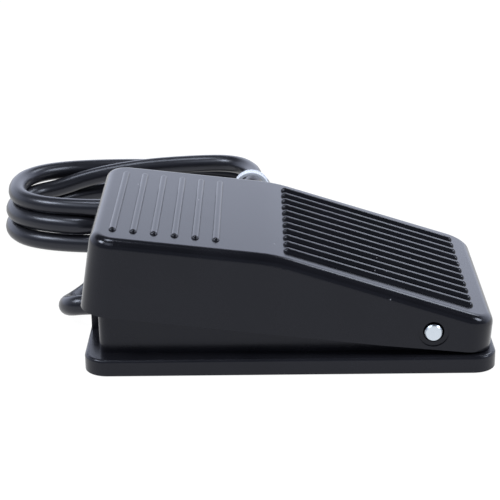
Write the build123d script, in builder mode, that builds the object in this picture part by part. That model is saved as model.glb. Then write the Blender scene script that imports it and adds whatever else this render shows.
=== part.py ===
from build123d import *
import math
import os

os.makedirs("parts", exist_ok=True)

# A pedal foot switch, resting on a floor at height zero. The origin is under the middle
# of the base. The cord leaves at minus X and the pedal hinges near plus X.
# All sizes are in millimetres and degrees.

# Base
base_length = 102.0
base_width = 64.0
base_corner = 6.0
flange_thickness = 4.2
flange_edge = 0.8
mat_thickness = 1.6
mat_proud = 0.4
mat_rim = 4.0
mat_fit = 0.2
mat_corner = 4.0
groove_width = 2.0
groove_depth = 0.6
groove_pitch = 8.0
groove_count = 6
floor_drop = 1.0
box_end_gap = 3.6
box_hinge_gap = 4.6
box_side_gap = 1.2
box_wall = 2.0
box_corner = 3.0
wall_gap = 1.4
wall_break_past_pin = 4.0

# Pedal, in the pose where its tread lies level
pedal_past_base = 0.2
pedal_side_gap = 1.2
pedal_corner = 7.0
pedal_draft = 2.5
pedal_wall = 2.4
pedal_edge = 2.6
tread_height = 15.3
skirt_low = -4.5
skirt_hinge = -3.74
skirt_break = -12.0
knee_from_high_end = 46.2
knee_radius = 44.0
tread_slope = 11.3
rest_tilt = 6.84
press_travel = 7.0
low_end_from_pin = 15.4

# Hinge
pin_from_low_edge = 15.9
pin_height = 10.45
pin_diameter = 4.4
pin_fit = 0.05
pin_chamfer = 0.3
pedal_hole = 5.2
pedal_hole_lift = 0.35
pin_ring = 7.6
pin_ring_depth = 0.25
pin_boss = 8.0
pin_boss_length = 3.0

# Grip ribs on the tread
cross_rib_count = 6
cross_rib_from_end = 6.14
cross_rib_pitch = 5.08
cross_rib_side_gap = 7.7
cross_rib_radius = 1.05
cross_rib_height = 0.7
long_rib_count = 11
long_rib_side_gap = 7.55
long_rib_past_knee = 2.0
long_rib_low_gap = 5.6
long_rib_radius = 1.15
long_rib_height = 1.0

# Cord outlet and clamp
cord_diameter = 5.4
outlet_reach = 3.2
outlet_width = 24.0
outlet_height = 7.4
outlet_corner = 2.0
notch_gap = 1.4
notch_past_wall = 1.0
grommet_wall = 0.9
grommet_inner_reach = 1.0
clamp_from_wall = 1.4
clamp_width = 6.0
clamp_span = 20.0
clamp_thickness = 1.6
clamp_arch = 1.4
clamp_screw_spacing = 14.0
clamp_boss = 6.0
clamp_screw_shank = 2.8
clamp_screw_length = 5.2
screw_fit = 0.1
screw_head = 5.2
screw_head_height = 1.8
sheath_end_past_clamp = 0.4

# Return spring
spring_from_box_end = 20.4
spring_wire = 1.2
spring_mean = 9.8
spring_turns = 7
spring_gap = 0.05
spring_post = 8.0
spring_post_height = 3.0
seat_peg = 6.0
seat_peg_length = 2.5
seat_peg_offset = 0.9

# Rubber stops under the high end of the pedal
stop_from_box_end = 7.4
stop_from_box_side = 8.2
stop_post = 8.0
stop_cap = 9.0
stop_cap_height = 4.6
stop_stem = 3.6
stop_stem_length = 3.0
stop_gap = 0.35
stop_edge = 1.5

# Snap switch
switch_length = 19.8
switch_depth = 6.4
switch_height = 10.2
switch_past_spring = 17.0
switch_lift = 5.0
switch_cover_thickness = 1.2
switch_edge = 0.4
switch_hole_spacing = 9.5
switch_hole_height = 2.6
switch_screw = 2.2
switch_screw_head = 3.8
switch_screw_head_height = 1.5
switch_nut = 4.0
switch_nut_height = 1.6
switch_wall = 2.8
switch_wall_height = 13.0
terminal_width = 3.0
terminal_thickness = 0.5
terminal_length = 3.7
terminal_pitch = 7.6
terminal_hole = 1.2
lever_eye_offset = 2.4
lever_eye_lift = 1.1
lever_eye = 2.0
lever_pin_diameter = 1.0
lever_pin_fit = 0.05
lever_thickness = 0.5
lever_width = 2.8
lever_reach = 24.4
ear_width = 2.6
ear_gap = 0.2
plunger_from_eye = 6.0
plunger_diameter = 2.2
plunger_fit = 0.05
plunger_length = 3.0
plunger_gap = 0.15
plunger_room = 1.6
pusher_from_end = 54.3
pusher_sink = 0.35
pusher_radius = 1.6
pusher_width = 8.0
pusher_gap = 0.15

# Wires
wire_diameter = 1.6
wire_lane_first = -8.4
wire_lane_pitch = 1.9
wire_floor_gap = 0.1
wire_turn_first = 4.0
wire_turn_pitch = 1.6
wire_spring_gap = 5.6
wire_past_spring = 5.0
wire_lift = 0.1
wire_bend_out = 1.0
wire_blade_step = 2.0
wire_blade_out = 0.6
wire_blade_gap = 4.0
wire_bundle_side = 1.1
wire_bundle_low = -0.9
wire_bundle_high = 1.2

# Coil of the cord behind the switch
coil_left = -87.0
coil_right = -2.6
coil_near = 53.8
coil_far = 109.0
coil_left_breadth = 9.0
coil_right_breadth = 11.3
coil_near_breadth = 9.0
coil_far_breadth = 25.0
coil_top = 16.9
coil_edge = 2.6
coil_corner_share = 0.43
tie_x = -9.8
tie_y = 73.8
tie_opening = 7.2
tie_band = 1.3
tie_width = 3.4
tie_top = 18.2
tie_fit = 0.1
tie_head = 5.0
tie_head_height = 4.4
tie_head_sink = 0.45
core_diameter = 1.8
tip_diameter = 1.0
tip_length = 6.0
core_start_x = -36.6
core_bend_x = -33.6
core_spread_x = -27.6
core_end_x = -20.6
core_lift = 0.1

# Levels and planes that the values give
base_bottom = mat_proud
flange_top = base_bottom + flange_thickness
mat_seat = mat_thickness
floor_top = flange_top - floor_drop
cord_radius = cord_diameter / 2
cord_axis = floor_top + cord_radius
low_edge = base_length / 2
high_edge = -base_length / 2
pin_x = low_edge - pin_from_low_edge
box_left = high_edge + box_end_gap
box_right = low_edge - box_hinge_gap
box_length = box_right - box_left
box_middle = (box_left + box_right) / 2
pedal_length = base_length + pedal_past_base
pedal_width = base_width - 2 * pedal_side_gap
box_width = pedal_width - 2 * pedal_wall - 2 * box_side_gap
high_end = low_end_from_pin - pedal_length
knee_from_pin = high_end + knee_from_high_end
stop_x = box_left + stop_from_box_end
stop_spacing = box_width - 2 * stop_from_box_side
spring_x = box_left + spring_from_box_end
switch_x = spring_x + switch_past_spring
outlet_face = box_left - outlet_reach
pin_point = Vector(pin_x, 0, pin_height)
tilt = math.radians(rest_tilt)
slope = math.tan(math.radians(tread_slope))
tread_along = Vector(math.cos(tilt), 0, -math.sin(tilt))
tread_up = Vector(math.sin(tilt), 0, math.cos(tilt))
pedal_middle = low_end_from_pin - pedal_length / 2
pressed_tilt = math.radians(rest_tilt - press_travel)


def tread_plane(height):
    """Plane parallel to the level tread, a height above the hinge pin's axis."""
    return Plane(origin=pin_point + tread_up * height, x_dir=tread_along, z_dir=tread_up)


def tread_side():
    """Upright plane along the pedal, in which x runs along the tread and y up from it."""
    return Plane(origin=pin_point, x_dir=tread_along, z_dir=(0, -1, 0))


def tread_surface(along, inset):
    """Height of the tread, or of its underside, above the pin in the level pose."""
    flat = tread_height - inset
    knee = knee_from_pin - inset * math.tan(math.radians(tread_slope) / 2)
    return flat - slope * max(0.0, along - knee)


def posed(along, up, angle):
    """Place of a pedal point when the pedal is turned up by an angle in radians."""
    x = pin_x + along * math.cos(angle) + up * math.sin(angle)
    z = pin_height - along * math.sin(angle) + up * math.cos(angle)
    return x, z


def pedal_shape(inset):
    """Solid outline of the pedal, or of its hollow where an inset is given."""
    knee = knee_from_pin - inset * math.tan(math.radians(tread_slope) / 2)
    flat = tread_height - inset
    past = low_end_from_pin + pedal_corner
    before = low_end_from_pin - pedal_length - pedal_corner
    with BuildPart() as shape:
        with BuildSketch(tread_plane(skirt_low)):
            with Locations((pedal_middle, 0)):
                RectangleRounded(
                    pedal_length - 2 * inset, pedal_width - 2 * inset, pedal_corner - inset
                )
        extrude(amount=tread_height - skirt_low, taper=pedal_draft)
        with BuildSketch(tread_side()):
            with BuildLine():
                Polyline(
                    (before, flat),
                    (before, skirt_low),
                    (skirt_break, skirt_low),
                    (past, skirt_hinge),
                    (past, tread_surface(past, inset)),
                    (knee, flat),
                    close=True,
                )
            make_face()
            knee_corner = vertices().sort_by_distance((knee, flat))[:1]
            fillet(knee_corner, radius=knee_radius - inset)
        extrude(amount=pedal_width, both=True, mode=Mode.INTERSECT)
    return shape.part


# Base: one moulded tray with a flange, a floor, low walls round the works, the
# cord outlet, posts for the spring and stops, and an upright wall for the snap switch.
wall_top_high = posed(knee_from_pin, tread_surface(knee_from_pin, pedal_wall), pressed_tilt)
wall_top_pin = posed(
    wall_break_past_pin, tread_surface(wall_break_past_pin, pedal_wall), tilt
)
wall_top_low = posed(box_right - pin_x, tread_surface(box_right - pin_x, pedal_wall), tilt)
post_top = posed(stop_x - pin_x, tread_surface(stop_x - pin_x, pedal_wall), pressed_tilt)[1]
post_top = post_top - stop_gap - stop_cap_height
clamp_seat = cord_axis
clamp_x = box_left + box_wall + clamp_from_wall + clamp_width / 2
switch_bottom = floor_top + switch_lift
switch_top = switch_bottom + switch_height
switch_face = switch_depth / 2
hole_z = switch_bottom + switch_hole_height

with BuildPart() as base:
    with BuildSketch(Plane.XY.offset(base_bottom)):
        RectangleRounded(base_length, base_width, base_corner)
    extrude(amount=flange_thickness)
    fillet(base.edges().group_by(Axis.Z)[-1], radius=flange_edge)
    with BuildSketch(Plane.XY.offset(base_bottom)):
        RectangleRounded(base_length - 2 * mat_rim, base_width - 2 * mat_rim, mat_corner)
    extrude(amount=mat_seat - base_bottom, mode=Mode.SUBTRACT)
    # Walls of the box and the outlet boss on its end
    with BuildSketch(Plane.XY.offset(mat_seat)):
        with Locations((box_middle, 0)):
            RectangleRounded(box_length, box_width, box_corner)
    extrude(amount=wall_top_high[1] - mat_seat)
    with BuildSketch(Plane.YZ.offset(outlet_face)):
        with Locations((0, mat_seat)):
            Rectangle(
                outlet_width,
                flange_top + outlet_height - mat_seat,
                align=(Align.CENTER, Align.MIN),
            )
        fillet(vertices().group_by(Axis.Y)[-1], radius=outlet_corner)
    extrude(amount=outlet_reach + box_wall / 2)
    with BuildSketch(Plane.XY.offset(floor_top)):
        with Locations((box_middle, 0)):
            RectangleRounded(
                box_length - 2 * box_wall, box_width - 2 * box_wall, box_corner - box_wall / 2
            )
    extrude(amount=wall_top_high[1], mode=Mode.SUBTRACT)
    # Bosses that carry the hinge pin inside the side walls
    for side in (-1, 1):
        wall_inside = side * (box_width / 2 - box_wall)
        with BuildSketch(Plane.XZ.offset(-wall_inside)):
            with Locations((pin_x, pin_height)):
                Circle(pin_boss / 2)
        extrude(amount=side * pin_boss_length)
        with BuildSketch(Plane.XZ.offset(-wall_inside)):
            with Locations((pin_x, floor_top)):
                Rectangle(pin_boss / 2, pin_height - floor_top, align=(Align.CENTER, Align.MIN))
        extrude(amount=side * pin_boss_length)
    # Sloping top of the walls, under the pressed pedal
    with BuildSketch(Plane.XZ):
        with BuildLine():
            Polyline(
                (high_edge, wall_top_high[1] - wall_gap),
                (wall_top_high[0], wall_top_high[1] - wall_gap),
                (wall_top_pin[0], wall_top_pin[1] - wall_gap / 2),
                (wall_top_low[0], wall_top_low[1] - wall_gap / 2),
                (wall_top_low[0] + base_corner, wall_top_low[1] - wall_gap / 2),
                (wall_top_low[0] + base_corner, wall_top_high[1] + base_corner),
                (high_edge, wall_top_high[1] + base_corner),
                close=True,
            )
        make_face()
    extrude(amount=base_width, both=True, mode=Mode.SUBTRACT)
    # Post for the spring, posts for the stops and bosses for the clamp
    with BuildSketch(Plane.XY.offset(floor_top)):
        with Locations((spring_x, 0)):
            Circle(spring_post / 2)
    extrude(amount=spring_post_height)
    with BuildSketch(Plane.XY.offset(floor_top)):
        with Locations((stop_x, stop_spacing / 2), (stop_x, -stop_spacing / 2)):
            Circle(stop_post / 2)
    extrude(amount=post_top - floor_top)
    with BuildSketch(Plane.XY.offset(floor_top)):
        with Locations((clamp_x, clamp_screw_spacing / 2), (clamp_x, -clamp_screw_spacing / 2)):
            Circle(clamp_boss / 2)
    extrude(amount=clamp_seat - floor_top)
    # Upright wall behind the snap switch, braced to the floor
    with BuildSketch(Plane.XY.offset(floor_top)):
        with Locations((switch_x, switch_face + switch_wall / 2)):
            Rectangle(switch_length, switch_wall)
    extrude(amount=switch_wall_height)
    with BuildSketch(Plane.XY.offset(floor_top)):
        with Locations(
            (switch_x - switch_length / 2 + box_wall / 2, switch_face + switch_wall * 1.5),
            (switch_x + switch_length / 2 - box_wall / 2, switch_face + switch_wall * 1.5),
        ):
            Rectangle(box_wall, switch_wall)
    extrude(amount=switch_wall_height / 2)
    # Holes: hinge pin, cord, stop stems, clamp screws and switch screws
    with BuildSketch(Plane.XZ):
        with Locations((pin_x, pin_height)):
            Circle(pin_diameter / 2 + pin_fit)
    extrude(amount=base_width, both=True, mode=Mode.SUBTRACT)
    with BuildSketch(Plane.YZ.offset(high_edge)):
        with Locations((0, cord_axis)):
            Circle(cord_radius + grommet_wall + pin_fit)
    extrude(
        amount=box_left + box_wall + grommet_inner_reach + pin_fit - high_edge, mode=Mode.SUBTRACT
    )
    with BuildSketch(Plane.XY.offset(post_top)):
        with Locations((stop_x, stop_spacing / 2), (stop_x, -stop_spacing / 2)):
            Circle(stop_stem / 2 + pin_fit)
    extrude(amount=-stop_stem_length - screw_fit, mode=Mode.SUBTRACT)
    with BuildSketch(Plane.XY.offset(clamp_seat)):
        with Locations((clamp_x, clamp_screw_spacing / 2), (clamp_x, -clamp_screw_spacing / 2)):
            Circle(clamp_screw_shank / 2 + pin_fit)
    extrude(amount=-(clamp_screw_length - clamp_thickness) - screw_fit, mode=Mode.SUBTRACT)
    with BuildSketch(Plane.XZ.offset(-switch_face)):
        with Locations(
            (switch_x - switch_hole_spacing / 2, hole_z), (switch_x + switch_hole_spacing / 2, hole_z)
        ):
            Circle(switch_screw / 2 + pin_fit)
    extrude(amount=-switch_wall, mode=Mode.SUBTRACT)
base.part.label = "base"
export_step(base.part, "parts/base.step")

# Rubber mat let into the underside, with grooves along it. It is what touches the floor.
with BuildPart() as rubber_mat:
    with BuildSketch(Plane.XY):
        RectangleRounded(
            base_length - 2 * mat_rim - 2 * mat_fit,
            base_width - 2 * mat_rim - 2 * mat_fit,
            mat_corner - mat_fit,
        )
    extrude(amount=mat_thickness)
    with BuildSketch(Plane.XY):
        with GridLocations(0, groove_pitch, 1, groove_count):
            SlotOverall(base_length - 4 * mat_rim, groove_width)
    extrude(amount=groove_depth, mode=Mode.SUBTRACT)
rubber_mat.part.label = "rubber_mat"
export_step(rubber_mat.part, "parts/rubber_mat.step")

# Hinge pin: a plain zinc plated steel rod, pressed through both side walls of the base
# and flush with the sides of the pedal.
pin_reach = pedal_width / 2 + skirt_low * math.tan(math.radians(pedal_draft))
with BuildPart() as hinge_pin:
    with BuildSketch(Plane.XZ):
        with Locations((pin_x, pin_height)):
            Circle(pin_diameter / 2)
    extrude(amount=pin_reach, both=True)
    pin_ends = hinge_pin.edges().filter_by(GeomType.CIRCLE)
    chamfer(pin_ends, length=pin_chamfer)
hinge_pin.part.label = "hinge_pin"
export_step(hinge_pin.part, "parts/hinge_pin.step")

# Pedal: one deep moulded shell with drafted walls, a flat tread that bends down to a
# slope, two sets of round ended grip ribs, and a notch that clears the cord outlet.
cross_rib_reach = pedal_width / 2 - cross_rib_side_gap
cross_rib_first = high_end + cross_rib_from_end
long_rib_pitch = (pedal_width - 2 * long_rib_side_gap) / (long_rib_count - 1)
long_rib_start = knee_from_pin + long_rib_past_knee
long_rib_along = low_end_from_pin - long_rib_low_gap - long_rib_start
long_rib_length = long_rib_along / math.cos(math.radians(tread_slope))
with BuildPart() as cross_rib:
    with BuildSketch(Plane.XY):
        SlotOverall(2 * cross_rib_reach, 2 * cross_rib_radius)
        with Locations((0, -cross_rib_radius)):
            Rectangle(4 * cross_rib_reach, 2 * cross_rib_radius, mode=Mode.SUBTRACT)
    revolve(axis=Axis.X)
with BuildPart() as long_rib:
    with BuildSketch(Plane.XY):
        SlotOverall(long_rib_length, 2 * long_rib_radius)
        with Locations((0, -long_rib_radius)):
            Rectangle(2 * long_rib_length, 2 * long_rib_radius, mode=Mode.SUBTRACT)
    revolve(axis=Axis.X)

cross_rib_level = tread_height + cross_rib_height - cross_rib_radius
cross_rib_places = []
for index in range(cross_rib_count):
    along = cross_rib_first + index * cross_rib_pitch
    place = pin_point + tread_along * along + tread_up * cross_rib_level
    cross_rib_places.append(Plane(origin=place, x_dir=(0, 1, 0), z_dir=tread_up))

long_rib_middle = long_rib_start + long_rib_along / 2
long_rib_sink = (long_rib_height - long_rib_radius) / math.cos(math.radians(tread_slope))
long_rib_level = tread_surface(long_rib_middle, 0) + long_rib_sink
slope_turn = math.radians(rest_tilt + tread_slope)
slope_along = Vector(math.cos(slope_turn), 0, -math.sin(slope_turn))
slope_up = Vector(math.sin(slope_turn), 0, math.cos(slope_turn))
long_rib_places = []
for index in range(long_rib_count):
    across = (index - (long_rib_count - 1) / 2) * long_rib_pitch
    place = pin_point + tread_along * long_rib_middle + tread_up * long_rib_level
    place = place + Vector(0, across, 0)
    long_rib_places.append(Plane(origin=place, x_dir=slope_along, z_dir=slope_up))

pedal_blank = pedal_shape(0.0)
pedal_hollow = pedal_shape(pedal_wall)
pin_face = pin_reach - pin_ring_depth
seat_peg_at = (spring_x - pin_x - seat_peg_offset) / math.cos(tilt)
pusher_from_pin = high_end + pusher_from_end
pusher_height = tread_surface(pusher_from_pin, pedal_wall) + pusher_sink
notch_top = flange_top + outlet_height - pin_height + notch_gap

with BuildPart() as pedal:
    add(pedal_blank)
    tread_faces = pedal.faces().filter_by(lambda face: face.normal_at().Z > 0.9)
    rim = tread_faces.edges().filter_by(
        lambda edge: sum(edge in face.edges() for face in tread_faces) == 1
    )
    fillet(rim, radius=pedal_edge)
    add(pedal_hollow, mode=Mode.SUBTRACT)
    with Locations(*cross_rib_places):
        add(cross_rib.part)
    with Locations(*long_rib_places):
        add(long_rib.part)
    with BuildSketch(tread_side()):
        with Locations((high_end + pedal_wall, skirt_low)):
            Rectangle(
                2 * (pedal_wall + notch_past_wall),
                notch_top - skirt_low,
                align=(Align.CENTER, Align.MIN),
            )
    extrude(amount=outlet_width / 2 + notch_gap, both=True, mode=Mode.SUBTRACT)
    with BuildSketch(Plane.XZ):
        with Locations((pin_x, pin_height + pedal_hole_lift)):
            Circle(pedal_hole / 2)
    extrude(amount=pedal_width, both=True, mode=Mode.SUBTRACT)
    for side in (-1, 1):
        with BuildSketch(Plane.XZ.offset(side * pin_face)):
            with Locations((pin_x, pin_height + pedal_hole_lift)):
                Circle(pin_ring / 2)
        extrude(amount=side * pedal_wall, mode=Mode.SUBTRACT)
    # Peg that centres the spring, and the rounded bar that presses the snap switch
    with BuildSketch(tread_plane(tread_height - pedal_wall - seat_peg_length)):
        with Locations((seat_peg_at, 0)):
            Circle(seat_peg / 2)
    extrude(amount=seat_peg_length + pedal_wall / 2)
    with BuildSketch(tread_side()):
        with Locations((pusher_from_pin, pusher_height)):
            Circle(pusher_radius)
    extrude(amount=pusher_width / 2, both=True)
pedal.part.label = "pedal"
export_step(pedal.part, "parts/pedal.step")

# Return spring: a steel compression spring between the base floor and the pedal.
spring_edge = (spring_x + spring_mean / 2 + spring_wire / 2 - pin_x) / math.cos(tilt)
spring_edge = spring_edge - (tread_height - pedal_wall) * math.tan(tilt)
spring_top = posed(spring_edge, tread_height - pedal_wall, tilt)[1] - spring_gap
spring_height = spring_top - floor_top - spring_wire
with BuildPart() as return_spring:
    with BuildLine(Plane.XY):
        coil_path = Helix(
            pitch=spring_height / spring_turns,
            height=spring_height,
            radius=spring_mean / 2,
            center=(spring_x, 0, floor_top + spring_wire / 2),
        )
    with BuildSketch(Plane(origin=coil_path @ 0, z_dir=coil_path % 0)):
        Circle(spring_wire / 2)
    sweep(path=coil_path, is_frenet=True)
return_spring.part.label = "return_spring"
export_step(return_spring.part, "parts/return_spring.step")

# Two rubber stops pushed into the posts, which end the pedal's travel.
with BuildPart() as stop_bumpers:
    with BuildSketch(Plane.XY.offset(post_top)):
        with Locations((stop_x, stop_spacing / 2), (stop_x, -stop_spacing / 2)):
            Circle(stop_cap / 2)
    extrude(amount=stop_cap_height)
    fillet(stop_bumpers.edges().group_by(Axis.Z)[-1], radius=stop_edge)
    with BuildSketch(Plane.XY.offset(post_top)):
        with Locations((stop_x, stop_spacing / 2), (stop_x, -stop_spacing / 2)):
            Circle(stop_stem / 2)
    extrude(amount=-stop_stem_length)
stop_bumpers.part.label = "stop_bumpers"
export_step(stop_bumpers.part, "parts/stop_bumpers.step")

# Snap switch: a moulded case with a cover on the side of the upright wall, a plunger,
# a strip lever on a small pin, and three solder blades below.
split_y = switch_face - switch_cover_thickness
case_middle = (split_y - switch_face) / 2
case_half = (split_y + switch_face) / 2
eye_x = switch_x - switch_length / 2 + lever_eye_offset
eye_z = switch_top + lever_eye_lift
plunger_x = eye_x + plunger_from_eye
pusher_x, pusher_z = posed(pusher_from_pin, pusher_height, tilt)
pusher_reach = math.hypot(pusher_x - eye_x, pusher_z - eye_z)
pusher_clear = pusher_radius + pusher_gap + lever_thickness / 2
lever_angle = math.atan2(pusher_z - eye_z, pusher_x - eye_x)
lever_angle = lever_angle - math.asin(pusher_clear / pusher_reach)
lever_under = eye_z + plunger_from_eye * math.tan(lever_angle)
lever_under = lever_under - lever_thickness / 2 / math.cos(lever_angle)
plunger_top = lever_under - plunger_gap
plunger_bottom = plunger_top - plunger_length
hole_places = [
    (switch_x - switch_hole_spacing / 2, hole_z),
    (switch_x + switch_hole_spacing / 2, hole_z),
]
ear_inner = lever_width / 2 + ear_gap
with BuildPart() as switch_case:
    with BuildSketch(Plane.XY.offset(switch_bottom)):
        with Locations((switch_x, -switch_face)):
            Rectangle(
                switch_length, split_y + switch_face, align=(Align.CENTER, Align.MIN)
            )
    extrude(amount=switch_height)
    fillet(switch_case.edges().filter_by(Axis.Y), radius=switch_edge)
    for side in (-1, 1):
        with BuildSketch(Plane.XZ.offset(-case_middle + side * ear_inner)):
            with Locations((eye_x, switch_top - switch_edge)):
                SlotOverall(2 * ear_width, ear_width, rotation=90)
        extrude(amount=side * (case_half - ear_inner))
    with BuildSketch(Plane.XZ.offset(-switch_depth)):
        with Locations((eye_x, eye_z)):
            Circle(lever_pin_diameter / 2 + lever_pin_fit)
    extrude(amount=2 * switch_depth, mode=Mode.SUBTRACT)
    with BuildSketch(Plane.XZ.offset(-switch_depth)):
        with Locations(*hole_places):
            Circle(switch_screw / 2 + pin_fit)
    extrude(amount=2 * switch_depth, mode=Mode.SUBTRACT)
    with BuildSketch(Plane.XY.offset(plunger_bottom - plunger_room)):
        with Locations((plunger_x, case_middle)):
            Circle(plunger_diameter / 2 + plunger_fit)
    extrude(amount=switch_height, mode=Mode.SUBTRACT)
switch_case.part.label = "switch_case"
export_step(switch_case.part, "parts/switch_case.step")

with BuildPart() as switch_cover:
    with BuildSketch(Plane.XZ.offset(-split_y)):
        with Locations((switch_x, switch_bottom + switch_height / 2)):
            RectangleRounded(switch_length, switch_height, switch_edge)
        with Locations(*hole_places):
            Circle(switch_screw / 2 + pin_fit, mode=Mode.SUBTRACT)
    extrude(amount=-switch_cover_thickness)
switch_cover.part.label = "switch_cover"
export_step(switch_cover.part, "parts/switch_cover.step")

with BuildPart() as switch_plunger:
    with BuildSketch(Plane.XY.offset(plunger_bottom)):
        with Locations((plunger_x, case_middle)):
            Circle(plunger_diameter / 2)
    extrude(amount=plunger_length)
    fillet(switch_plunger.edges().group_by(Axis.Z)[-1], radius=switch_edge)
switch_plunger.part.label = "switch_plunger"
export_step(switch_plunger.part, "parts/switch_plunger.step")

lever_along = Vector(math.cos(lever_angle), 0, math.sin(lever_angle))
lever_side = Plane(origin=(eye_x, case_middle, eye_z), x_dir=lever_along, z_dir=(0, -1, 0))
with BuildPart() as switch_lever:
    with BuildSketch(lever_side):
        with Locations((lever_reach / 2, 0)):
            Rectangle(lever_reach, lever_thickness)
        Circle(lever_eye / 2)
        Circle(lever_pin_diameter / 2 + lever_pin_fit, mode=Mode.SUBTRACT)
    extrude(amount=lever_width / 2, both=True)
switch_lever.part.label = "switch_lever"
export_step(switch_lever.part, "parts/switch_lever.step")

with BuildPart() as lever_pin:
    with BuildSketch(Plane.XZ.offset(-case_middle)):
        with Locations((eye_x, eye_z)):
            Circle(lever_pin_diameter / 2)
    extrude(amount=case_half, both=True)
lever_pin.part.label = "lever_pin"
export_step(lever_pin.part, "parts/lever_pin.step")

terminal_names = ["terminal_common", "terminal_closed", "terminal_open"]
terminal_x = []
for index, name in enumerate(terminal_names):
    blade_x = switch_x + (index - 1) * terminal_pitch
    terminal_x.append(blade_x)
    with BuildPart() as terminal:
        with BuildSketch(Plane.XZ.offset(-case_middle - terminal_thickness / 2)):
            with Locations((blade_x, switch_bottom - terminal_length / 2)):
                Rectangle(terminal_width, terminal_length)
            with Locations((blade_x + terminal_width / 4, switch_bottom - terminal_width / 3)):
                Circle(terminal_hole / 2, mode=Mode.SUBTRACT)
            fillet(vertices().group_by(Axis.Y)[0], radius=terminal_thickness)
        extrude(amount=terminal_thickness)
    terminal.part.label = name
    export_step(terminal.part, "parts/" + name + ".step")

# Screws through the switch into nuts behind the upright wall.
screw_grip = switch_depth + switch_wall + switch_nut_height
with BuildPart() as switch_screws:
    with BuildSketch(Plane.XZ.offset(switch_face)):
        with Locations(*hole_places):
            Circle(switch_screw / 2)
    extrude(amount=-screw_grip)
    with BuildSketch(Plane.XZ.offset(switch_face)):
        with Locations(*hole_places):
            Circle(switch_screw_head / 2)
    extrude(amount=switch_screw_head_height)
switch_screws.part.label = "switch_screws"
export_step(switch_screws.part, "parts/switch_screws.step")

with BuildPart() as switch_nuts:
    with BuildSketch(Plane.XZ.offset(-switch_face - switch_wall)):
        with Locations(*hole_places):
            RegularPolygon(radius=switch_nut / 2, side_count=6, major_radius=False)
            Circle(switch_screw / 2 + pin_fit, mode=Mode.SUBTRACT)
    extrude(amount=-switch_nut_height)
switch_nuts.part.label = "switch_nuts"
export_step(switch_nuts.part, "parts/switch_nuts.step")

# Grommet in the outlet boss, and the saddle that clamps the cord to the floor.
with BuildPart() as cord_grommet:
    with BuildSketch(Plane.YZ.offset(outlet_face)):
        with Locations((0, cord_axis)):
            Circle(cord_radius + grommet_wall)
            Circle(cord_radius + pin_fit, mode=Mode.SUBTRACT)
    extrude(amount=outlet_reach + box_wall + grommet_inner_reach)
cord_grommet.part.label = "cord_grommet"
export_step(cord_grommet.part, "parts/cord_grommet.step")

with BuildPart() as cord_clamp:
    with BuildSketch(Plane.YZ.offset(clamp_x - clamp_width / 2)):
        with Locations((0, clamp_seat)):
            Rectangle(clamp_span, clamp_thickness, align=(Align.CENTER, Align.MIN))
            Circle(cord_radius + clamp_arch)
        with Locations((0, clamp_seat)):
            Rectangle(clamp_span, cord_diameter, align=(Align.CENTER, Align.MAX), mode=Mode.SUBTRACT)
            Circle(cord_radius + pin_fit, mode=Mode.SUBTRACT)
    extrude(amount=clamp_width)
    with BuildSketch(Plane.XY.offset(clamp_seat)):
        with Locations((clamp_x, clamp_screw_spacing / 2), (clamp_x, -clamp_screw_spacing / 2)):
            Circle(clamp_screw_shank / 2 + pin_fit)
    extrude(amount=clamp_thickness, mode=Mode.SUBTRACT)
cord_clamp.part.label = "cord_clamp"
export_step(cord_clamp.part, "parts/cord_clamp.step")

with BuildPart() as clamp_screws:
    with BuildSketch(Plane.XY.offset(clamp_seat + clamp_thickness)):
        with Locations((clamp_x, clamp_screw_spacing / 2), (clamp_x, -clamp_screw_spacing / 2)):
            Circle(clamp_screw_shank / 2)
    extrude(amount=-clamp_screw_length)
    with BuildSketch(Plane.XY.offset(clamp_seat + clamp_thickness)):
        with Locations((clamp_x, clamp_screw_spacing / 2), (clamp_x, -clamp_screw_spacing / 2)):
            Circle(screw_head / 2)
    extrude(amount=screw_head_height)
    fillet(clamp_screws.edges().group_by(Axis.Z)[-1], radius=switch_edge)
clamp_screws.part.label = "clamp_screws"
export_step(clamp_screws.part, "parts/clamp_screws.step")


def corner_radii(points):
    """Largest arc at each corner of a route that its two runs leave room for."""
    radii = []
    for index in range(1, len(points) - 1):
        before = Vector(*points[index]) - Vector(*points[index - 1])
        after = Vector(*points[index + 1]) - Vector(*points[index])
        turn = math.radians(before.get_angle(after))
        radii.append(0.45 * min(before.length, after.length) / math.tan(turn / 2))
    return radii


def cord_tube(points, diameter):
    """Round tube along straight runs joined by tangent arcs."""
    radii = corner_radii(points)
    with BuildPart() as tube:
        with BuildLine():
            route = FilletPolyline(*points, radius=radii)
        with BuildSketch(Plane(origin=route @ 0, z_dir=route % 0)):
            Circle(diameter / 2)
        sweep(path=route)
    section = math.pi * diameter**2 / 4
    print("least radius", round(min(radii), 1), "length", round(route.length, 1),
          "volume over section times length", round(tube.part.volume / section / route.length, 4))
    return tube.part


# Sheathed cord inside the outlet, and three wires from its end to the blades.
sheath_end = clamp_x + clamp_width / 2 + sheath_end_past_clamp
with BuildPart() as cord_inner:
    with BuildSketch(Plane.YZ.offset(outlet_face)):
        with Locations((0, cord_axis)):
            Circle(cord_radius)
    extrude(amount=sheath_end - outlet_face)
cord_inner.part.label = "cord_inner"
export_step(cord_inner.part, "parts/cord_inner.step")

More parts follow.
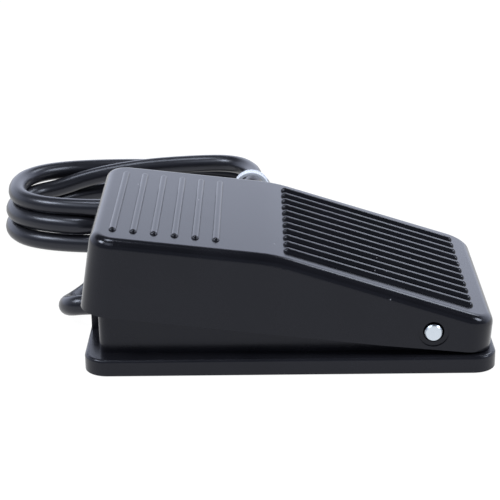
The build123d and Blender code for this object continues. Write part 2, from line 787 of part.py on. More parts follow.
wire_names = ["brown_wire", "blue_wire", "green_yellow_wire"]
wire_starts = [
    (wire_bundle_side, wire_bundle_low),
    (0.0, wire_bundle_high),
    (-wire_bundle_side, wire_bundle_low),
]
wire_level = floor_top + wire_diameter / 2 + wire_floor_gap
blade_level = switch_bottom - terminal_length + wire_diameter / 2 + wire_floor_gap
for index, name in enumerate(wire_names):
    start_y, start_rise = wire_starts[index]
    lane = wire_lane_first - index * wire_lane_pitch
    blade_x = terminal_x[index]
    turn_x = sheath_end + wire_turn_first - index * wire_turn_pitch
    spring_pass_x = spring_x - wire_spring_gap - index * wire_lane_pitch
    points = [
        (sheath_end, start_y, cord_axis + start_rise),
        (turn_x, start_y, cord_axis + start_rise),
        (spring_pass_x, lane + wire_bend_out, wire_level + wire_lift),
        (spring_x + wire_past_spring, lane, wire_level),
        (blade_x - wire_blade_step, lane + wire_blade_out, wire_level + wire_lift),
        (blade_x, -wire_blade_gap, blade_level),
        (blade_x, case_middle - terminal_thickness / 2, blade_level),
    ]
    wire = cord_tube(points, wire_diameter)
    wire.label = name
    export_step(wire, "parts/" + name + ".step")

# Free cord: out of the outlet, down to the floor, round the corner of the base and
# along behind the pedal into the coil.
cord_route = [
    (outlet_face, 0, cord_axis),
    (-53.8, 0, cord_axis),
    (-57.0, 1.2, 5.5),
    (-58.9, 4.9, 4.1),
    (-57.8, 9.9, 3.0),
    (-55.4, 15.2, 2.75),
    (-54.2, 22.0, 2.72),
    (-53.8, 29.5, 2.71),
    (-50.3, 37.0, 2.7),
    (-42.5, 41.6, 2.71),
    (-31.0, 43.6, 2.72),
    (-19.0, 45.2, 2.71),
    (-10.5, 49.0, 2.7),
    (-6.6, 55.4, 2.71),
    (-6.2, 60.8, 2.7),
    (-6.5, 63.0, 2.7),
]
cord_lead = cord_tube(cord_route, cord_diameter)
cord_lead.label = "cord_lead"
export_step(cord_lead, "parts/cord_lead.step")

# Coil: the outer shape of three loose turns, narrow at the front where they lie stacked,
# broad at the back where they fan out, and drawn together under the tie.
coil_length = coil_right - coil_left
coil_breadth = coil_far - coil_near
coil_middle = ((coil_left + coil_right) / 2, (coil_near + coil_far) / 2)
hole_length = coil_length - coil_left_breadth - coil_right_breadth
hole_breadth = coil_breadth - coil_near_breadth - coil_far_breadth
hole_middle = (
    coil_left + coil_left_breadth + hole_length / 2,
    coil_near + coil_near_breadth + hole_breadth / 2,
)
bundle_low = tie_band + tie_fit
bundle_top = tie_top - tie_band - tie_fit
with BuildPart() as cord_coil:
    with BuildSketch(Plane.XY):
        with Locations(coil_middle):
            RectangleRounded(coil_length, coil_breadth, coil_corner_share * coil_breadth)
        with Locations(hole_middle):
            RectangleRounded(
                hole_length,
                hole_breadth,
                coil_corner_share * hole_breadth,
                mode=Mode.SUBTRACT,
            )
    extrude(amount=coil_top)
    fillet(cord_coil.edges().group_by(Axis.Z)[-1], radius=coil_edge)
    with BuildSketch(Plane.XZ.offset(-tie_y)):
        with Locations((tie_x, coil_top / 2)):
            Rectangle(4 * tie_opening, 4 * coil_top)
        with Locations((tie_x, (bundle_low + bundle_top) / 2)):
            SlotOverall(
                bundle_top - bundle_low, tie_opening - 2 * tie_fit, rotation=90, mode=Mode.SUBTRACT
            )
    extrude(amount=tie_width / 2 + tie_fit, both=True, mode=Mode.SUBTRACT)
cord_coil.part.label = "cord_coil"
export_step(cord_coil.part, "parts/cord_coil.step")

# Nylon tie round the bundle, with its lock on the inner side.
with BuildPart() as cable_tie:
    with BuildSketch(Plane.XZ.offset(-tie_y)):
        with Locations((tie_x, tie_top / 2)):
            SlotOverall(tie_top, tie_opening + 2 * tie_band, rotation=90)
            SlotOverall(tie_top - 2 * tie_band, tie_opening, rotation=90, mode=Mode.SUBTRACT)
    extrude(amount=tie_width / 2, both=True)
    with BuildSketch(Plane.XY.offset(tie_top / 2 - tie_head_height)):
        with Locations((tie_x - tie_opening / 2 - tie_band + tie_head_sink, tie_y)):
            Rectangle(tie_head / 2, tie_head, align=(Align.MAX, Align.CENTER))
    extrude(amount=tie_head_height)
cable_tie.part.label = "cable_tie"
export_step(cable_tie.part, "parts/cable_tie.step")

# Tail of the cord, which ends inside the coil in three cores with tinned tips.
tail_route = [
    (-51.5, 64.6, 2.72),
    (-47.2, 68.3, 2.71),
    (-42.2, 70.6, 2.7),
    (core_start_x, 70.6, 2.7),
]
cord_tail = cord_tube(tail_route, cord_diameter)
cord_tail.label = "cord_tail"
export_step(cord_tail, "parts/cord_tail.step")

core_names = ["brown_core", "blue_core", "green_yellow_core"]
core_starts = [(69.4, 1.9), (71.6, 1.9), (70.6, 3.9)]
core_ends = [(69.4, 0.92), (76.0, 0.92), (72.2, 0.92)]
tips = []
for index, name in enumerate(core_names):
    start_y, start_z = core_starts[index]
    end_y, end_z = core_ends[index]
    points = [
        (core_start_x, start_y, start_z),
        (core_bend_x, start_y, start_z),
        (core_spread_x, (start_y + end_y) / 2, end_z + core_lift),
        (core_end_x, end_y, end_z),
    ]
    core = cord_tube(points, core_diameter)
    core.label = name
    export_step(core, "parts/" + name + ".step")
    reach = Vector(*points[3]) - Vector(*points[2])
    tips.append(Plane(origin=points[3], z_dir=reach.normalized()))

with BuildPart() as tinned_tips:
    with BuildSketch(*tips):
        Circle(tip_diameter / 2)
    extrude(amount=tip_length)
tinned_tips.part.label = "tinned_tips"
export_step(tinned_tips.part, "parts/tinned_tips.step")
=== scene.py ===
import math

import bpy
from mathutils import Matrix, Vector


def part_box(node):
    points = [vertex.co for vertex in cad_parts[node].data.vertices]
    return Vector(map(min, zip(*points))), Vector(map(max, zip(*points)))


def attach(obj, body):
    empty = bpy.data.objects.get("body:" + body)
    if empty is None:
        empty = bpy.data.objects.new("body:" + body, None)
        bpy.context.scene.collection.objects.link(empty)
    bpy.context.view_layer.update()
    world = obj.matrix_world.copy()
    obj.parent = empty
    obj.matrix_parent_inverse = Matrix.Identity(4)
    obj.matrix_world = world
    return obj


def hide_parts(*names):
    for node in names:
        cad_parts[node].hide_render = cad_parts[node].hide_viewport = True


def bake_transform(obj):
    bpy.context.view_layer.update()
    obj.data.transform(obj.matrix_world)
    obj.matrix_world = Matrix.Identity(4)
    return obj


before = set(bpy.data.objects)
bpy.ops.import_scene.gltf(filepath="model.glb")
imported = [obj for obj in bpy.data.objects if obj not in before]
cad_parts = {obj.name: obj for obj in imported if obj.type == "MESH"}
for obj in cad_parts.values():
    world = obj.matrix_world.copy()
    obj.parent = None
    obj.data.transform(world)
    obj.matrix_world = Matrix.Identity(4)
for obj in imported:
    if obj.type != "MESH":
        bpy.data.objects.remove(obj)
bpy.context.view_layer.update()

# The base is one black moulded tray with a flange all round, and it carries every other piece of
# the switch. Its plastic has a fine spark eroded grain and the satin black of the pedal.


def grain(material, size):
    """A noise of the given grain size in metres, in the piece's own frame."""
    nodes = material.node_tree.nodes
    place = nodes.new("ShaderNodeTexCoord")
    noise = nodes.new("ShaderNodeTexNoise")
    noise.inputs["Scale"].default_value = 1 / size
    noise.inputs["Detail"].default_value = 2.0
    material.node_tree.links.new(place.outputs["Object"], noise.inputs["Vector"])
    return noise.outputs["Fac"]


def spread(material, source, low, high, start=0.0, end=1.0):
    """Turns a value that goes from start to end into one from low to high."""
    ramp = material.node_tree.nodes.new("ShaderNodeMapRange")
    ramp.inputs["From Min"].default_value = start
    ramp.inputs["From Max"].default_value = end
    ramp.inputs["To Min"].default_value = low
    ramp.inputs["To Max"].default_value = high
    material.node_tree.links.new(source, ramp.inputs["Value"])
    return ramp.outputs["Result"]


def tones(material, source, dark, light):
    """Turns a grain into a colour between a dark and a light tone."""
    ramp = material.node_tree.nodes.new("ShaderNodeValToRGB")
    ramp.color_ramp.elements[0].position = 0.3
    ramp.color_ramp.elements[0].color = (*dark, 1)
    ramp.color_ramp.elements[1].position = 0.7
    ramp.color_ramp.elements[1].color = (*light, 1)
    material.node_tree.links.new(source, ramp.inputs["Fac"])
    return ramp.outputs["Color"]


def moulded(name, dark, light, roughness, grain_size, grain_height, mirror=1.37):
    """A moulded finish: a fine raised grain with clouds of tone and gloss.

    mirror is the index of refraction, which sets how strongly the surface mirrors.
    """
    cloud_size = 40 * grain_size
    cloud_gloss = 0.05
    cool_sheen = (0.84, 0.87, 1.0)
    material = bpy.data.materials.new(name)
    material.use_nodes = True
    links = material.node_tree.links
    shader = material.node_tree.nodes["Principled BSDF"]
    shader.inputs["IOR"].default_value = mirror
    shader.inputs["Specular Tint"].default_value = (*cool_sheen, 1)
    fine = grain(material, grain_size)
    cloud = grain(material, cloud_size)
    rough = spread(material, cloud, roughness - cloud_gloss, roughness + cloud_gloss)
    links.new(tones(material, cloud, dark, light), shader.inputs["Base Color"])
    links.new(rough, shader.inputs["Roughness"])
    bump = material.node_tree.nodes.new("ShaderNodeBump")
    bump.inputs["Distance"].default_value = grain_height
    bump.inputs["Strength"].default_value = 1.0
    links.new(fine, bump.inputs["Height"])
    links.new(bump.outputs["Normal"], shader.inputs["Normal"])
    return material


def dress(material, *names):
    """Gives a finish to pieces that come from the frame."""
    for name in names:
        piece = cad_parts[name]
        piece.data.materials.clear()
        piece.data.materials.append(material)


base_plastic = moulded(
    "base_plastic",
    dark=(0.0070, 0.0070, 0.0092),
    light=(0.0105, 0.0105, 0.0134),
    roughness=0.26,
    grain_size=0.00035,
    grain_height=0.00001,
)
dress(base_plastic, "base")

# The mat is a sheet of black rubber with long grooves. It is glued into a recess of the base's
# underside, so that the switch doesn't slide when it is trodden on.

mat_rubber = moulded(
    "mat_rubber",
    dark=(0.010, 0.010, 0.010),
    light=(0.018, 0.018, 0.018),
    roughness=0.75,
    grain_size=0.0005,
    grain_height=0.00003,
)
dress(mat_rubber, "rubber_mat")

# The hinge pin is a bright plated steel rod, cut flush at both ends. It is pressed through both
# side walls of the base, and the sides of the pedal turn on it.


def metal(name, dark, light, roughness, grain_size, grain_height):
    """A bare metal with a fine drawn or turned surface."""
    material = moulded(name, dark, light, roughness, grain_size, grain_height)
    material.node_tree.nodes["Principled BSDF"].inputs["Metallic"].default_value = 1
    return material


pin_steel = metal(
    "pin_steel",
    dark=(0.57, 0.63, 0.70),
    light=(0.64, 0.70, 0.77),
    roughness=0.28,
    grain_size=0.0004,
    grain_height=0.00003,
)
dress(pin_steel, "hinge_pin")

# The pedal is one deep black moulding with a smooth skirt, six short ribs across its flat tread
# and eleven long ribs down its slope. A few specks of dust lie on it.


def painted(material, share, tone):
    """Lays a second tone over a finish, fully where share is 1."""
    links = material.node_tree.links
    shader = material.node_tree.nodes["Principled BSDF"]
    mix = material.node_tree.nodes.new("ShaderNodeMix")
    mix.data_type = "RGBA"
    mix.inputs["B"].default_value = (*tone, 1)
    links.new(share, mix.inputs["Factor"])
    links.new(shader.inputs["Base Color"].links[0].from_socket, mix.inputs["A"])
    links.new(mix.outputs["Result"], shader.inputs["Base Color"])


def dusted(material, spacing, size, tone):
    """Adds specks of dust, as small light dots about a spacing apart, to a finish."""
    nodes = material.node_tree.nodes
    place = nodes.new("ShaderNodeTexCoord")
    dots = nodes.new("ShaderNodeTexVoronoi")
    dots.inputs["Scale"].default_value = 1 / spacing
    material.node_tree.links.new(place.outputs["Object"], dots.inputs["Vector"])
    speck = spread(material, dots.outputs["Distance"], 1.0, 0.0, size / spacing / 2, size / spacing)
    painted(material, speck, tone)


pedal_plastic = moulded(
    "pedal_plastic",
    dark=(0.0055, 0.0055, 0.0072),
    light=(0.0080, 0.0080, 0.0102),
    roughness=0.19,
    grain_size=0.00035,
    grain_height=0.00001,
)
dusted(pedal_plastic, spacing=0.0060, size=0.00022, tone=(0.30, 0.30, 0.32))
dress(pedal_plastic, "pedal")

# Two stops of soft black rubber stand on posts of the base. They end the pedal's travel and take
# the sound out of it.

stop_rubber = moulded(
    "stop_rubber",
    dark=(0.012, 0.012, 0.012),
    light=(0.020, 0.020, 0.020),
    roughness=0.70,
    grain_size=0.0004,
    grain_height=0.00002,
)
dress(stop_rubber, "stop_bumpers")

# The return spring stands on a post of the base and lifts the pedal. It is wound from steel wire
# with its end turns closed.


def made(name, points, faces, material):
    """A new piece with one finish, from its points and faces."""
    mesh = bpy.data.meshes.new(name)
    mesh.from_pydata(points, [], faces)
    mesh.materials.append(material)
    piece = bpy.data.objects.new(name, mesh)
    bpy.context.scene.collection.objects.link(piece)
    return piece


spring_steel = metal(
    "spring_steel",
    dark=(0.42, 0.42, 0.43),
    light=(0.60, 0.60, 0.61),
    roughness=0.30,
    grain_size=0.0003,
    grain_height=0.00001,
)
spring_low, spring_high = (Vector(corner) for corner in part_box("return_spring"))
wire_radius = 0.0006
wire_sides = 10
spring_turns = 7
closed_turns = 2
spring_steps = 32
spring_radius = (spring_high.x - spring_low.x) / 2 - wire_radius
# A closed turn rises by one thickness of the wire, and half of one lies past each end.
open_rise = spring_high.z - spring_low.z - (closed_turns + 1) * 2 * wire_radius
spring_points = []
spring_faces = []
for step in range(spring_turns * spring_steps + 1):
    turn = step / spring_steps
    # The first turn and the last are the closed ones.
    closed = min(turn, 1) + max(turn - spring_turns + 1, 0)
    rise = wire_radius + closed * 2 * wire_radius
    rise += (turn - closed) / (spring_turns - closed_turns) * open_rise
    out = Vector((math.cos(math.tau * turn), math.sin(math.tau * turn), 0))
    place = (spring_low + spring_high) / 2 + out * spring_radius
    place.z = spring_low.z + rise
    for side in range(wire_sides):
        angle = math.tau * side / wire_sides
        around = out * math.cos(angle) + Vector((0, 0, math.sin(angle)))
        spring_points.append(place + around * wire_radius)
for step in range(spring_turns * spring_steps):
    here = step * wire_sides
    there = here + wire_sides
    for side in range(wire_sides):
        beside = (side + 1) % wire_sides
        spring_faces.append((here + side, here + beside, there + beside, there + side))
spring_faces.append(tuple(range(wire_sides))[::-1])
spring_faces.append(tuple(range(len(spring_points) - wire_sides, len(spring_points))))
spring = made("return_spring_wire", spring_points, spring_faces, spring_steel)
spring.data.shade_smooth()
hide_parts("return_spring")
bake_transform(spring)

# The snap switch has a black moulded case, a grey cover and a red plunger. A steel lever on a
# small pin presses the plunger, and three brass blades take the wires.

switch_plastic = moulded(
    "switch_plastic",
    dark=(0.010, 0.010, 0.011),
    light=(0.016, 0.016, 0.017),
    roughness=0.42,
    grain_size=0.0004,
    grain_height=0.00001,
)
cover_plastic = moulded(
    "cover_plastic",
    dark=(0.030, 0.031, 0.033),
    light=(0.042, 0.043, 0.045),
    roughness=0.45,
    grain_size=0.0004,
    grain_height=0.00001,
)
plunger_plastic = moulded(
    "plunger_plastic",
    dark=(0.45, 0.02, 0.015),
    light=(0.55, 0.03, 0.02),
    roughness=0.35,
    grain_size=0.0004,
    grain_height=0.00001,
)
lever_steel = metal(
    "lever_steel",
    dark=(0.58, 0.58, 0.57),
    light=(0.74, 0.74, 0.73),
    roughness=0.28,
    grain_size=0.0003,
    grain_height=0.00001,
)
contact_brass = metal(
    "contact_brass",
    dark=(0.62, 0.46, 0.22),
    light=(0.78, 0.60, 0.30),
    roughness=0.30,
    grain_size=0.0003,
    grain_height=0.00001,
)
dress(switch_plastic, "switch_case")
dress(cover_plastic, "switch_cover")
dress(plunger_plastic, "switch_plunger")
dress(lever_steel, "switch_lever", "lever_pin")
dress(contact_brass, "terminal_common", "terminal_closed", "terminal_open")

# The screws and nuts are zinc plated steel. Two screws with nuts hold the snap switch to an
# upright wall of the base, and two more hold the clamp down on the cord.

plated_steel = metal(
    "plated_steel",
    dark=(0.56, 0.57, 0.58),
    light=(0.70, 0.71, 0.72),
    roughness=0.30,
    grain_size=0.0003,
    grain_height=0.00001,
)
dress(plated_steel, "switch_screws", "switch_nuts", "clamp_screws")

# A sleeve of black rubber lines the hole where the cord leaves the base, and a saddle of black
# plastic clamps the cord behind it.

sleeve_rubber = moulded(
    "sleeve_rubber",
    dark=(0.010, 0.010, 0.010),
    light=(0.016, 0.016, 0.016),
    roughness=0.60,
    grain_size=0.0004,
    grain_height=0.00001,
)
clamp_plastic = moulded(
    "clamp_plastic",
    dark=(0.010, 0.010, 0.011),
    light=(0.016, 0.016, 0.017),
    roughness=0.45,
    grain_size=0.0004,
    grain_height=0.00001,
)
dress(sleeve_rubber, "cord_grommet")
dress(clamp_plastic, "cord_clamp")

# The cord has a black vinyl sheath round three vinyl covered wires. They are brown, blue, and
# green with a yellow stripe, both inside the base and at the cord's bare end.

sheath_vinyl = moulded(
    "sheath_vinyl",
    dark=(0.007, 0.007, 0.009),
    light=(0.011, 0.011, 0.014),
    roughness=0.30,
    grain_size=0.0010,
    grain_height=0.00001,
    mirror=1.49,
)
brown_vinyl = moulded(
    "brown_vinyl",
    dark=(0.080, 0.030, 0.012),
    light=(0.110, 0.042, 0.018),
    roughness=0.35,
    grain_size=0.0006,
    grain_height=0.00001,
)
blue_vinyl = moulded(
    "blue_vinyl",
    dark=(0.010, 0.070, 0.300),
    light=(0.016, 0.100, 0.380),
    roughness=0.35,
    grain_size=0.0006,
    grain_height=0.00001,
)
green_yellow_vinyl = moulded(
    "green_yellow_vinyl",
    dark=(0.02, 0.22, 0.03),
    light=(0.03, 0.26, 0.04),
    roughness=0.35,
    grain_size=0.0006,
    grain_height=0.00001,
)
stripe_yellow = (0.75, 0.60, 0.03)
stripe_start = 0.55
stripe_full = 0.60
surface = green_yellow_vinyl.node_tree.nodes.new("ShaderNodeNewGeometry")
upward = green_yellow_vinyl.node_tree.nodes.new("ShaderNodeSeparateXYZ")
green_yellow_vinyl.node_tree.links.new(surface.outputs["Normal"], upward.inputs["Vector"])
stripe = spread(green_yellow_vinyl, upward.outputs["Z"], 0.0, 1.0, stripe_start, stripe_full)
painted(green_yellow_vinyl, stripe, stripe_yellow)
dress(sheath_vinyl, "cord_inner")
dress(brown_vinyl, "brown_wire", "brown_core")
dress(blue_vinyl, "blue_wire", "blue_core")
dress(green_yellow_vinyl, "green_yellow_wire", "green_yellow_core")

# Outside, the cord is one round black lead. It leaves the high end, bends round the corner of the
# base, runs along the floor into the tie, winds three loose turns and ends bare inside them.

cord_diameter = 0.0054
cord_exit = (-0.0506, 0, 0.0063)
lead_places = [
    cord_exit,
    (-0.0538, 0, 0.0063),
    (-0.0570, 0.0012, 0.0055),
    (-0.0589, 0.0049, 0.0041),
    (-0.0578, 0.0099, 0.0030),
    (-0.0556, 0.0154, 0.00275),
    (-0.05375, 0.0205, 0.00272),
    (-0.05375, 0.0295, 0.00271),
    (-0.0503, 0.0370, 0.0027),
    (-0.0425, 0.0416, 0.00271),
    (-0.0310, 0.0436, 0.00272),
    (-0.0190, 0.0452, 0.00271),
    (-0.0105, 0.0486, 0.0027),
    (-0.0060, 0.0546, 0.00272),
    (-0.0056, 0.0616, 0.0028),
    (-0.0076, 0.0685, 0.0032),
]
tail_places = [
    (-0.0578, 0.0570, 0.0080),
    (-0.0534, 0.0596, 0.0073),
    (-0.0498, 0.0628, 0.0063),
    (-0.0466, 0.0660, 0.0051),
    (-0.0434, 0.0686, 0.0040),
    (-0.0402, 0.0701, 0.00315),
    (-0.0366, 0.0706, 0.0027),
]
coil_middle = Vector((-0.0462, 0.0780))
coil_reach = Vector((0.0370, 0.0212))
coil_squareness = 2.4
turn_steps = 16
turn_marks = 8
# Height of the strand's middle and how far it stands outside the plain oval, in millimetres,
# at each of a turn's eight marks, from the tie's side and round by the back.
strand_heights = [
    4.0, 3.0, 4.4, 3.3, 2.7, 2.7, 2.7, 7.5,
    9.2, 8.8, 11.0, 12.9, 13.3, 13.0, 13.0, 13.2,
    14.4, 14.4, 12.8, 8.5, 7.9, 8.3, 8.3,
]
strand_offsets = [
    -0.8, 1.5, 4.8, -1.0, 0.3, 2.9, 1.9, 0.8,
    2.0, 10.6, 5.2, 1.2, -0.8, 0.0, -0.8, -0.5,
    0.2, 4.3, -1.2, -4.0, 0.0, 2.0, 1.9,
]


def eased(values, place):
    """The value between two neighbours of a list, with a soft start and end."""
    first = min(int(place), len(values) - 2)
    share = (1 - math.cos(math.pi * (place - first))) / 2
    return values[first] * (1 - share) + values[first + 1] * share


coil_places = []
for step in range((len(strand_heights) - 2) * turn_steps // turn_marks + 2):
    angle = math.tau * step / turn_steps
    mark = step * turn_marks / turn_steps
    across, along = math.cos(angle), math.sin(angle)
    power = 2 / coil_squareness
    outward = eased(strand_offsets, mark) / 1000
    x = coil_middle.x + coil_reach.x * math.copysign(abs(across) ** power, across) + outward * across
    y = coil_middle.y + coil_reach.y * math.copysign(abs(along) ** power, along) + outward * along
    coil_places.append((x, y, eased(strand_heights, mark) / 1000))

cord_places = lead_places + coil_places + tail_places
cord_curve = bpy.data.curves.new("cord", "CURVE")
cord_curve.dimensions = "3D"
cord_curve.bevel_depth = cord_diameter / 2
cord_curve.bevel_resolution = 7
cord_curve.resolution_u = 8
cord_curve.use_fill_caps = True
cord_line = cord_curve.splines.new("NURBS")
cord_line.points.add(len(cord_places) - 1)
for point, place in zip(cord_line.points, cord_places):
    point.co = (*place, 1)
cord_line.order_u = 3
cord_line.use_endpoint_u = True
cord_curve.materials.append(sheath_vinyl)
cord = bpy.data.objects.new("cord", cord_curve)
bpy.context.scene.collection.objects.link(cord)
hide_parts("cord_lead", "cord_coil", "cord_tail")
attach(cord, "base")

# The tie is one moulded strap of white nylon, drawn tight round the strands at the coil's right
# end. Fine teeth run across its outside, its lock is on the inner side and its end is cut short.

tie_nylon = moulded(
    "tie_nylon",
    dark=(0.56, 0.59, 0.65),
    light=(0.66, 0.69, 0.75),
    roughness=0.40,
    grain_size=0.0004,
    grain_height=0.00001,
)
strap_middle = Vector((-0.0098, 0.0738, 0.0095))
strap_reach = 0.0044
strap_straight = 0.0041
strap_width = 0.0034
strap_thickness = 0.0010
tooth_height = 0.00016
tooth_count = 54
lock_low, lock_high = (-0.0167, 0.0713, 0.0047), (-0.0142, 0.0763, 0.0091)
end_low, end_high = (-0.0160, 0.0721, 0.0091), (-0.0150, 0.0755, 0.0106)
strap_arc = math.pi * strap_reach
strap_length = 2 * strap_arc + 4 * strap_straight
strap_steps = 2 * tooth_count
# The strap's section, as shares of its width and thickness. Points 3 and 4 carry the teeth.
strap_section = [
    (-0.50, 0.0), (-0.50, 1.0), (-0.36, 1.0), (-0.34, 1.0),
    (0.34, 1.0), (0.36, 1.0), (0.50, 1.0), (0.50, 0.0),
]
section_sides = len(strap_section)


def strap_place(length):
    """A place on the strap's oval and the direction out of it, at a length along the oval."""
    if length < strap_arc:
        angle = length / strap_reach
        out = Vector((math.cos(angle), 0, math.sin(angle)))
        return strap_middle + Vector((0, 0, strap_straight)) + out * strap_reach, out
    if length < strap_arc + 2 * strap_straight:
        rise = strap_straight - (length - strap_arc)
        return strap_middle + Vector((-strap_reach, 0, rise)), Vector((-1, 0, 0))
    place, out = strap_place(length - strap_arc - 2 * strap_straight)
    return 2 * strap_middle - place, -out


def add_block(points, faces, low, high):
    """Adds a plain block between two corners to a list of points and faces."""
    first = len(points)
    for x in (low[0], high[0]):
        for y in (low[1], high[1]):
            for z in (low[2], high[2]):
                points.append(Vector((x, y, z)))
    for face in ((0, 1, 3, 2), (4, 6, 7, 5), (0, 4, 5, 1), (2, 3, 7, 6), (0, 2, 6, 4), (1, 5, 7, 3)):
        faces.append(tuple(first + corner for corner in face))


strap_points = []
strap_faces = []
for step in range(strap_steps):
    place, out = strap_place(strap_length * step / strap_steps)
    tooth = tooth_height * (step % 2) - tooth_height
    for index, (side, rise) in enumerate(strap_section):
        lift = tooth if index in (3, 4) else 0
        across = Vector((0, side * strap_width, 0))
        strap_points.append(place + out * (rise * strap_thickness + lift) + across)
    here = step * section_sides
    there = (step + 1) % strap_steps * section_sides
    for index in range(section_sides):
        beside = (index + 1) % section_sides
        strap_faces.append((here + index, there + index, there + beside, here + beside))
add_block(strap_points, strap_faces, lock_low, lock_high)
add_block(strap_points, strap_faces, end_low, end_high)
tie = made("cable_tie_strap", strap_points, strap_faces, tie_nylon)
rounding = tie.modifiers.new("rounding", "BEVEL")
rounding.width = 0.00018
rounding.segments = 2
rounding.limit_method = "ANGLE"
rounding.angle_limit = math.radians(60)
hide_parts("cable_tie")
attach(tie, "base")

# At the cord's bare end the copper strands of the three cores are twisted and tinned, ready for
# wiring in. With them and the tie, the free cord is complete.

tinned_copper = metal(
    "tinned_copper",
    dark=(0.60, 0.61, 0.62),
    light=(0.76, 0.77, 0.78),
    roughness=0.30,
    grain_size=0.0002,
    grain_height=0.00002,
)
dress(tinned_copper, "tinned_tips")

# The switch is shown on a wide table of matt white paper. The camera and mirrored rays see most
# of it as plain white, and the rest keeps the switch's own shadow.

paper_white = 1.14
paper_white_share = 0.86
paper = bpy.data.materials.new("white_paper")
paper.use_nodes = True
paper_nodes = paper.node_tree.nodes
paper_links = paper.node_tree.links
paper_shader = paper_nodes["Principled BSDF"]
paper_shader.inputs["Base Color"].default_value = (0.44, 0.445, 0.46, 1)
paper_shader.inputs["Roughness"].default_value = 0.9
white = paper_nodes.new("ShaderNodeEmission")
white.inputs["Strength"].default_value = paper_white
rays = paper_nodes.new("ShaderNodeLightPath")
mirrored = paper_nodes.new("ShaderNodeMath")
mirrored.operation = "MAXIMUM"
paper_links.new(rays.outputs["Is Glossy Ray"], mirrored.inputs[0])
paper_links.new(rays.outputs["Is Transmission Ray"], mirrored.inputs[1])
shown = paper_nodes.new("ShaderNodeMath")
shown.operation = "MAXIMUM"
paper_links.new(rays.outputs["Is Camera Ray"], shown.inputs[0])
paper_links.new(mirrored.outputs["Value"], shown.inputs[1])
share = paper_nodes.new("ShaderNodeMath")
share.operation = "MULTIPLY"
share.inputs[1].default_value = paper_white_share
paper_links.new(shown.outputs["Value"], share.inputs[0])
paper_mix = paper_nodes.new("ShaderNodeMixShader")
paper_links.new(share.outputs["Value"], paper_mix.inputs["Fac"])
paper_links.new(paper_shader.outputs["BSDF"], paper_mix.inputs[1])
paper_links.new(white.outputs["Emission"], paper_mix.inputs[2])
paper_links.new(paper_mix.outputs["Shader"], paper_nodes["Material Output"].inputs["Surface"])
table_half = 8.0
table_points = [
    (-table_half, -table_half, 0),
    (table_half, -table_half, 0),
    (table_half, table_half, 0),
    (-table_half, table_half, 0),
]
table_top = made("table_top", table_points, [(0, 1, 2, 3)], paper)

# The studio round the table has a bright low backdrop behind the switch, a dim front and a dark
# ceiling. The black plastic mirrors them, which gives the flat tread its grey sheen.

front_strength = 0.26
backdrop_strength = 1.84
ceiling_strength = 0.12
backdrop_start, backdrop_full = -0.35, 0.60
ceiling_start, ceiling_full = 0.46, 0.66
world = bpy.data.worlds.new("studio")
bpy.context.scene.world = world
world.use_nodes = True
world_nodes = world.node_tree.nodes
world_links = world.node_tree.links


def ramped(source, start, end, low, high):
    """A smooth step of a direction's part, from low at start to high at end."""
    ramp = world_nodes.new("ShaderNodeMapRange")
    ramp.interpolation_type = "SMOOTHSTEP"
    ramp.inputs["From Min"].default_value = start
    ramp.inputs["From Max"].default_value = end
    ramp.inputs["To Min"].default_value = low
    ramp.inputs["To Max"].default_value = high
    world_links.new(source, ramp.inputs["Value"])
    return ramp.outputs["Result"]


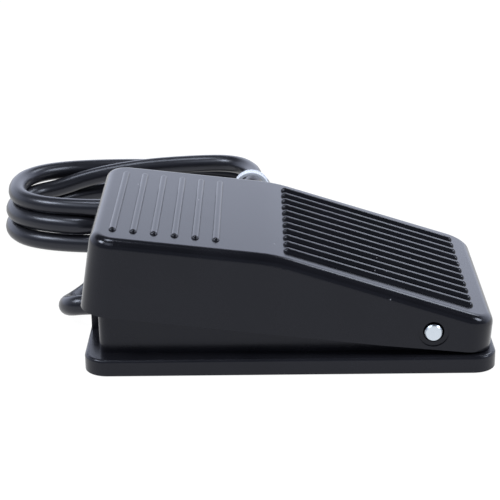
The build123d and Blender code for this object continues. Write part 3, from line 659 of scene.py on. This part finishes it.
world_place = world_nodes.new("ShaderNodeTexCoord")
world_parts = world_nodes.new("ShaderNodeSeparateXYZ")
world_links.new(world_place.outputs["Generated"], world_parts.inputs["Vector"])
behind = ramped(
    world_parts.outputs["Y"], backdrop_start, backdrop_full, front_strength, backdrop_strength
)
below_ceiling = ramped(world_parts.outputs["Z"], ceiling_start, ceiling_full, 1.0, 0.0)
studio_strength = world_nodes.new("ShaderNodeMath")
studio_strength.operation = "MULTIPLY_ADD"
world_links.new(behind, studio_strength.inputs[0])
world_links.new(below_ceiling, studio_strength.inputs[1])
studio_strength.inputs[2].default_value = ceiling_strength
world_light = world_nodes["Background"]
world_light.inputs["Color"].default_value = (0.78, 0.835, 1.0, 1)
world_links.new(studio_strength.outputs["Value"], world_light.inputs["Strength"])

# Five soft lamps with a cool daylight colour stand round and above the switch. They give the
# fillets, the ribs and the cord their narrow highlights.

lamp_aim = Vector((0, 0, 0.02))


def lamp(name, place, size, power, colour):
    """A soft rectangular lamp that looks at the switch."""
    light = bpy.data.lights.new(name, "AREA")
    light.shape = "RECTANGLE"
    light.size = size[0]
    light.size_y = size[1]
    light.energy = power
    light.color = colour
    thing = bpy.data.objects.new(name, light)
    thing.location = place
    direction = lamp_aim - Vector(place)
    thing.rotation_euler = direction.to_track_quat("-Z", "Y").to_euler()
    bpy.context.scene.collection.objects.link(thing)


lamp("left_softbox", (-0.58, -0.16, 0.68), (0.27, 0.22), 4.4, (0.90, 0.95, 1.0))
lamp("right_softbox", (0.72, -0.16, 0.54), (0.28, 0.28), 3.4, (0.90, 0.95, 1.0))
lamp("rear_softbox", (0.42, 0.50, 0.62), (0.28, 0.24), 1.6, (0.86, 0.92, 1.0))
lamp("top_softbox", (-0.16, 0.12, 0.90), (0.26, 0.20), 2.2, (0.88, 0.93, 1.0))
lamp("front_panel", (-0.30, -0.50, 0.70), (0.36, 0.36), 1.1, (0.86, 0.92, 1.0))

# The camera stands where the photograph was taken from, low in front of the switch, with a long
# lens. Its place and angles were fitted to the base, the pin and the ribs.

camera_place = (-0.00604, -0.38283, 0.16592)
camera_pitch = 20.709
camera_yaw = -0.564
camera_roll = -0.804
camera_data = bpy.data.cameras.new("camera")
camera_data.sensor_width = 36
camera_data.lens = 113.2
camera = bpy.data.objects.new("camera", camera_data)
camera.matrix_world = (
    Matrix.Translation(camera_place)
    @ Matrix.Rotation(math.radians(-camera_yaw), 4, "Z")
    @ Matrix.Rotation(math.radians(90 - camera_pitch), 4, "X")
    @ Matrix.Rotation(math.radians(camera_roll), 4, "Z")
)
bpy.context.scene.collection.objects.link(camera)
bpy.context.scene.camera = camera
bpy.context.scene.view_settings.view_transform = "Standard"
